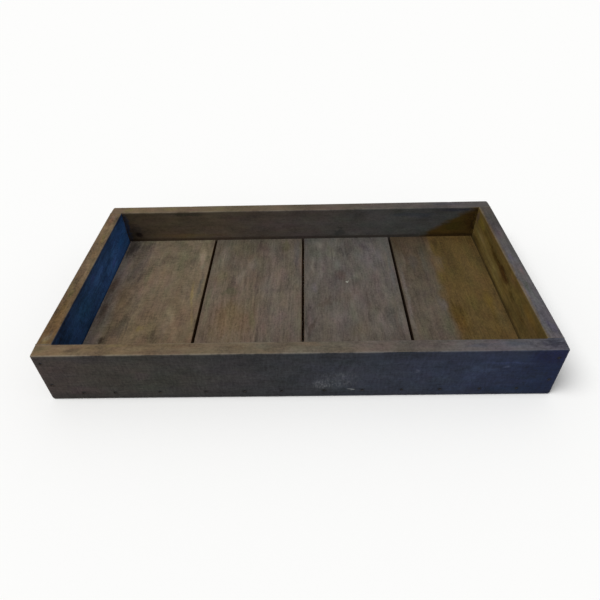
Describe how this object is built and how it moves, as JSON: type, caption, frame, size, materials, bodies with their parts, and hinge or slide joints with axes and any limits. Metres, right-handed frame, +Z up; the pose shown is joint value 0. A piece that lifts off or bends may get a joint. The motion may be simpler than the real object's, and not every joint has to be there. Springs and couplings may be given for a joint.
{
  "type": "wooden serving tray",
  "caption": "Shallow rectangular wooden serving tray: upright walls nailed round a flat floor of wide boards laid side by side.",
  "frame": {"origin": "under the middle of the tray, on the surface that it stands on", "axes": "+X along the front and back rails, +Y from the front rail to the back rail, +Z up"},
  "size_m": [0.61, 0.33, 0.078],
  "materials": {
    "front_rail": "weathered, low sheen, going bluish to the right",
    "back_rail": "weathered, low sheen",
    "left_end": "navy stained inside, worn grey-brown outside, low sheen",
    "right_end": "olive brown, low sheen",
    "floor_board_1": "weathered, warm, low sheen",
    "floor_board_2": "weathered, grey-brown, low sheen",
    "floor_board_3": "weathered, ash grey, low sheen",
    "floor_board_4": "weathered, olive to the right, low sheen",
    "nail": "dulled, with a little rust"
  },
  "bodies": {
    "root": {"front_rail": "front_rail", "back_rail": "back_rail", "left_end": "left_end", "right_end": "right_end", "floor_board_1": "floor_board_1", "floor_board_2": "floor_board_2", "floor_board_3": "floor_board_3", "floor_board_4": "floor_board_4", "front_left_nail_lower": "nail", "front_left_nail_upper": "nail", "front_right_nail_lower": "nail", "front_right_nail_upper": "nail", "front_floor_nail_01": "nail", "front_floor_nail_02": "nail", "front_floor_nail_03": "nail", "front_floor_nail_04": "nail", "front_floor_nail_05": "nail", "front_floor_nail_06": "nail", "front_floor_nail_07": "nail", "front_floor_nail_08": "nail", "front_floor_nail_09": "nail", "front_floor_nail_10": "nail", "front_floor_nail_11": "nail", "front_floor_nail_12": "nail", "back_left_nail_lower": "nail", "back_left_nail_upper": "nail", "back_right_nail_lower": "nail", "back_right_nail_upper": "nail", "back_floor_nail_01": "nail", "back_floor_nail_02": "nail", "back_floor_nail_03": "nail", "back_floor_nail_04": "nail", "back_floor_nail_05": "nail", "back_floor_nail_06": "nail", "back_floor_nail_07": "nail", "back_floor_nail_08": "nail", "back_floor_nail_09": "nail", "back_floor_nail_10": "nail", "back_floor_nail_11": "nail", "back_floor_nail_12": "nail"}
  },
  "joints": []
}
